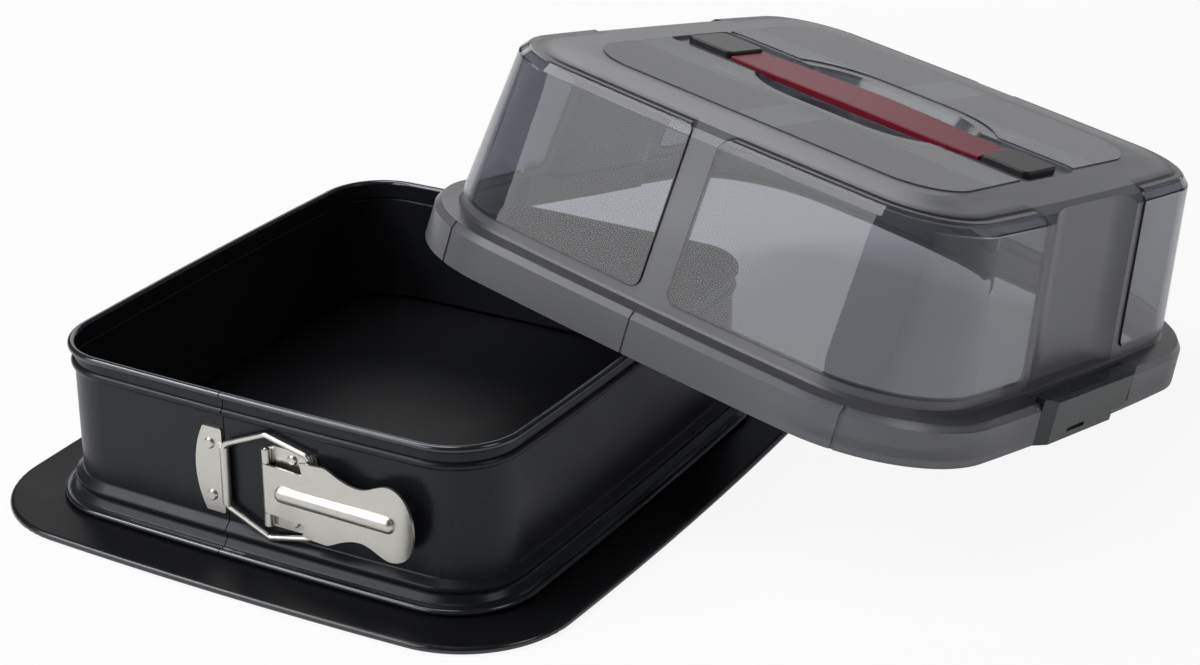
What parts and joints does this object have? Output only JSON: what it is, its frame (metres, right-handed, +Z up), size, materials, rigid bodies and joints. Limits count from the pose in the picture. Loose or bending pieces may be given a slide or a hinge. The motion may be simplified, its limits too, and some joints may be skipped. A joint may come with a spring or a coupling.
{
  "type": "springform pan with cover",
  "caption": "Rectangular springform baking pan on a flanged base tray, with a side toggle latch and a tall clear clip-on cover with strap handle.",
  "frame": {"origin": "middle of the base tray, on the surface that it stands on", "axes": "+Z up, square to the tray; +Y towards the back, away from the latch side; +X along the shorter side, to the right when facing the latch"},
  "size_m": [0.4305, 0.4747, 0.1848],
  "materials": {
    "nonstick_coating": "satin non-stick coating on pressed steel",
    "latch_steel": "satin",
    "smoky_cover": "clear smoky grey, polished windows in a fine frosted frame",
    "red_strap": "tinted, satin",
    "dark_handle_block": "satin",
    "dark_clip": "dark tinted, satin"
  },
  "bodies": {
    "tray": {"base_tray": "nonstick_coating"},
    "ring": {"springform_ring": "nonstick_coating", "latch_keeper": "latch_steel", "keeper_rivets": "latch_steel", "latch_bracket": "latch_steel", "bracket_rivets": "latch_steel", "lever_pivot_pin": "latch_steel"},
    "lever": {"latch_lever": "latch_steel"},
    "bail": {"latch_bail": "latch_steel"},
    "cover": {"cover_shell": "smoky_cover", "handle_grip": "red_strap", "handle_end_left": "dark_handle_block", "handle_end_right": "dark_handle_block", "clip_pin_left": "latch_steel", "clip_pin_right": "latch_steel"},
    "left_clip": {"clip_left": "dark_clip"},
    "right_clip": {"clip_right": "dark_clip"}
  },
  "joints": [
    {"name": "ring_lift", "type": "slide", "parent": "tray", "child": "ring", "axis": [0, 0, 1], "range_m": [0, 0.1]},
    {"name": "cover_lift", "type": "slide", "parent": "ring", "child": "cover", "axis": [0, 0, 1], "range_m": [0, 0.15]},
    {"name": "lever_hinge", "type": "hinge", "parent": "ring", "child": "lever", "pos_m": [0.0082, -0.1268, 0.0403], "axis": [0, 0, -1], "range_deg": [0, 110]},
    {"name": "bail_hinge", "type": "hinge", "parent": "ring", "child": "bail", "pos_m": [-0.0137, -0.1268, 0.0403], "axis": [0, 0, -1], "range_deg": [0, 55]},
    {"name": "right_clip_hinge", "type": "hinge", "parent": "cover", "child": "right_clip", "pos_m": [0.27485, 0.13206, 0.04118], "axis": [-0.1029, -0.9753, 0.1955], "range_deg": [0, 80]},
    {"name": "left_clip_hinge", "type": "hinge", "parent": "cover", "child": "left_clip", "pos_m": [-0.01108, 0.17114, 0.08565], "axis": [0.1029, 0.9753, -0.1955], "range_deg": [0, 80]}
  ],
  "couplings": [
    {"joint": "bail_hinge", "follows": "lever_hinge", "ratio": 0.5}
  ]
}
